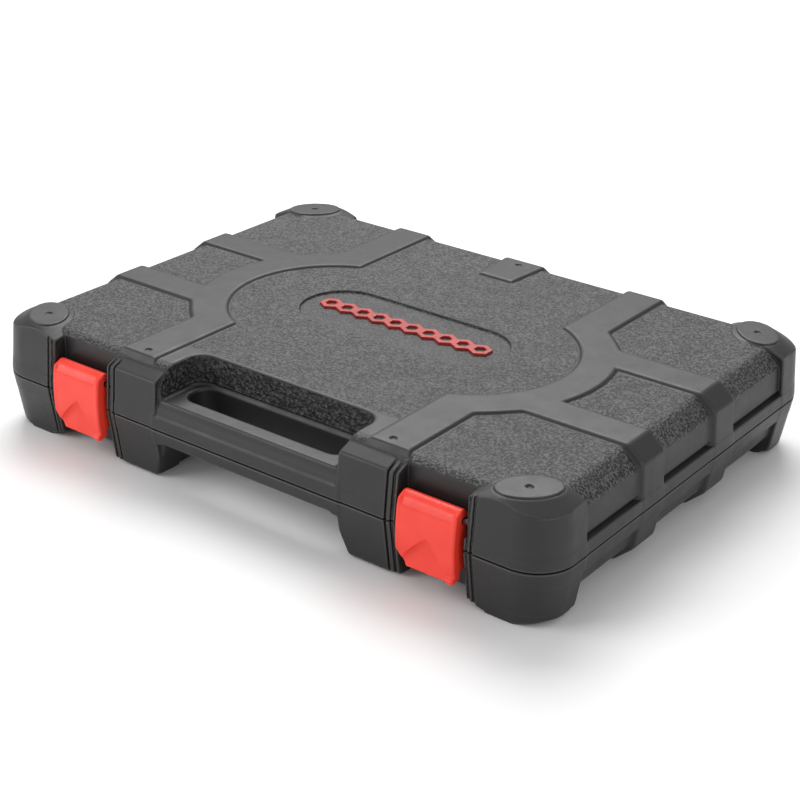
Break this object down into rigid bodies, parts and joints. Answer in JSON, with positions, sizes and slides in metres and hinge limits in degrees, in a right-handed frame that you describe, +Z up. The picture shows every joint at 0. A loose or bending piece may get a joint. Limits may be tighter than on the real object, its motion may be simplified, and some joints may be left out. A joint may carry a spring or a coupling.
{
  "type": "socket wrench set in case",
  "caption": "Rectangular moulded tool case with a carrying grip, two swinging front latches and a hinged lid over a tray of sockets, ratchets and drive tools.",
  "frame": {"origin": "on the resting plane, under the middle of the closed case's box", "axes": "+X along the long side, -Y towards the carrying grip and the latches, +Y towards the hinges, +Z up through the lid"},
  "size_m": [0.398, 0.3049, 0.071],
  "materials": {
    "case_plastic": "satin charcoal grey moulded plastic, grained on the panels",
    "tray_plastic": "matt near-black moulded plastic",
    "red_plastic": "satin orange-red moulded plastic",
    "black_rubber": "matt black grip rubber",
    "chrome_steel": "satin chrome plated steel",
    "dark_steel": "dark finished steel"
  },
  "bodies": {
    "base": {"base_shell": "case_plastic", "tool_tray": "tray_plastic", "hinge_pin_left": "dark_steel", "hinge_pin_right": "dark_steel", "socket_half_inch_32": "chrome_steel", "socket_half_inch_30": "chrome_steel", "socket_half_inch_27": "chrome_steel", "socket_half_inch_24": "chrome_steel", "socket_half_inch_22": "chrome_steel", "socket_half_inch_19": "chrome_steel", "socket_half_inch_17": "chrome_steel", "socket_half_inch_14": "chrome_steel", "socket_half_inch_13": "chrome_steel", "socket_half_inch_12": "chrome_steel", "socket_half_inch_10": "chrome_steel", "socket_quarter_inch_14": "chrome_steel", "socket_quarter_inch_13": "chrome_steel", "socket_quarter_inch_12": "chrome_steel", "socket_quarter_inch_11": "chrome_steel", "socket_quarter_inch_10": "chrome_steel", "socket_quarter_inch_9": "chrome_steel", "socket_quarter_inch_8": "chrome_steel", "socket_quarter_inch_7": "chrome_steel", "socket_quarter_inch_6": "chrome_steel", "socket_quarter_inch_5": "chrome_steel", "socket_quarter_inch_4": "chrome_steel", "spark_plug_socket_21": "chrome_steel", "spark_plug_socket_16": "chrome_steel", "large_ratchet_body": "chrome_steel", "large_ratchet_cover": "chrome_steel", "large_ratchet_grip": "black_rubber", "small_ratchet_body": "chrome_steel", "small_ratchet_cover": "chrome_steel", "small_ratchet_grip": "black_rubber", "extension_bar_250": "chrome_steel", "extension_bar_125": "chrome_steel", "extension_bar_100": "chrome_steel", "extension_bar_50": "chrome_steel", "driver_grip": "red_plastic", "driver_shank": "chrome_steel", "t_handle_bar": "chrome_steel", "bit_rack": "black_rubber", "hex_key_6": "dark_steel", "hex_key_5": "dark_steel", "hex_key_4": "dark_steel", "hex_key_3": "dark_steel"},
    "lid": {"lid_shell": "case_plastic", "lid_liner": "tray_plastic", "emblem": "red_plastic", "latch_pin_left": "dark_steel", "latch_pin_right": "dark_steel"},
    "latch_left": {"latch_left": "red_plastic"},
    "latch_right": {"latch_right": "red_plastic"},
    "large_ratchet_drive": {"large_ratchet_drive": "dark_steel"},
    "large_ratchet_selector": {"large_ratchet_selector": "dark_steel"},
    "large_ratchet_button": {"large_ratchet_release_button": "dark_steel"},
    "small_ratchet_drive": {"small_ratchet_drive": "dark_steel"},
    "small_ratchet_selector": {"small_ratchet_selector": "dark_steel"},
    "small_ratchet_button": {"small_ratchet_release_button": "dark_steel"},
    "t_handle_slider": {"t_handle_slider": "chrome_steel"}
  },
  "joints": [
    {"name": "lid_hinge", "type": "hinge", "parent": "base", "child": "lid", "pos_m": [0, 0.1479, 0.0345], "axis": [-1, 0, 0], "range_deg": [0, 110]},
    {"name": "latch_left_hinge", "type": "hinge", "parent": "lid", "child": "latch_left", "pos_m": [-0.1265, -0.1445, 0.049], "axis": [-1, 0, 0], "range_deg": [0, 90]},
    {"name": "latch_right_hinge", "type": "hinge", "parent": "lid", "child": "latch_right", "pos_m": [0.1265, -0.1445, 0.049], "axis": [-1, 0, 0], "range_deg": [0, 90]},
    {"name": "large_ratchet_drive_turn", "type": "hinge", "parent": "base", "child": "large_ratchet_drive", "pos_m": [-0.158, 0.106, 0.0325], "axis": [0, 0, 1], "continuous": true},
    {"name": "large_ratchet_selector_flip", "type": "hinge", "parent": "base", "child": "large_ratchet_selector", "pos_m": [-0.158, 0.106, 0.0325], "axis": [0, 0, 1], "range_deg": [-20, 20]},
    {"name": "large_ratchet_button_press", "type": "slide", "parent": "large_ratchet_drive", "child": "large_ratchet_button", "axis": [0, 0, -1], "range_m": [0, 0.002], "stiffness_N_per_m": 300, "springref_m": -0.001},
    {"name": "small_ratchet_drive_turn", "type": "hinge", "parent": "base", "child": "small_ratchet_drive", "pos_m": [-0.169, -0.058, 0.031], "axis": [0, 0, 1], "continuous": true},
    {"name": "small_ratchet_selector_flip", "type": "hinge", "parent": "base", "child": "small_ratchet_selector", "pos_m": [-0.169, -0.058, 0.031], "axis": [0, 0, 1], "range_deg": [-20, 20]},
    {"name": "small_ratchet_button_press", "type": "slide", "parent": "small_ratchet_drive", "child": "small_ratchet_button", "axis": [0, 0, -1], "range_m": [0, 0.0015], "stiffness_N_per_m": 300, "springref_m": -0.001},
    {"name": "t_handle_slide", "type": "slide", "parent": "base", "child": "t_handle_slider", "axis": [1, 0, 0], "range_m": [-0.042, 0.042]}
  ]
}
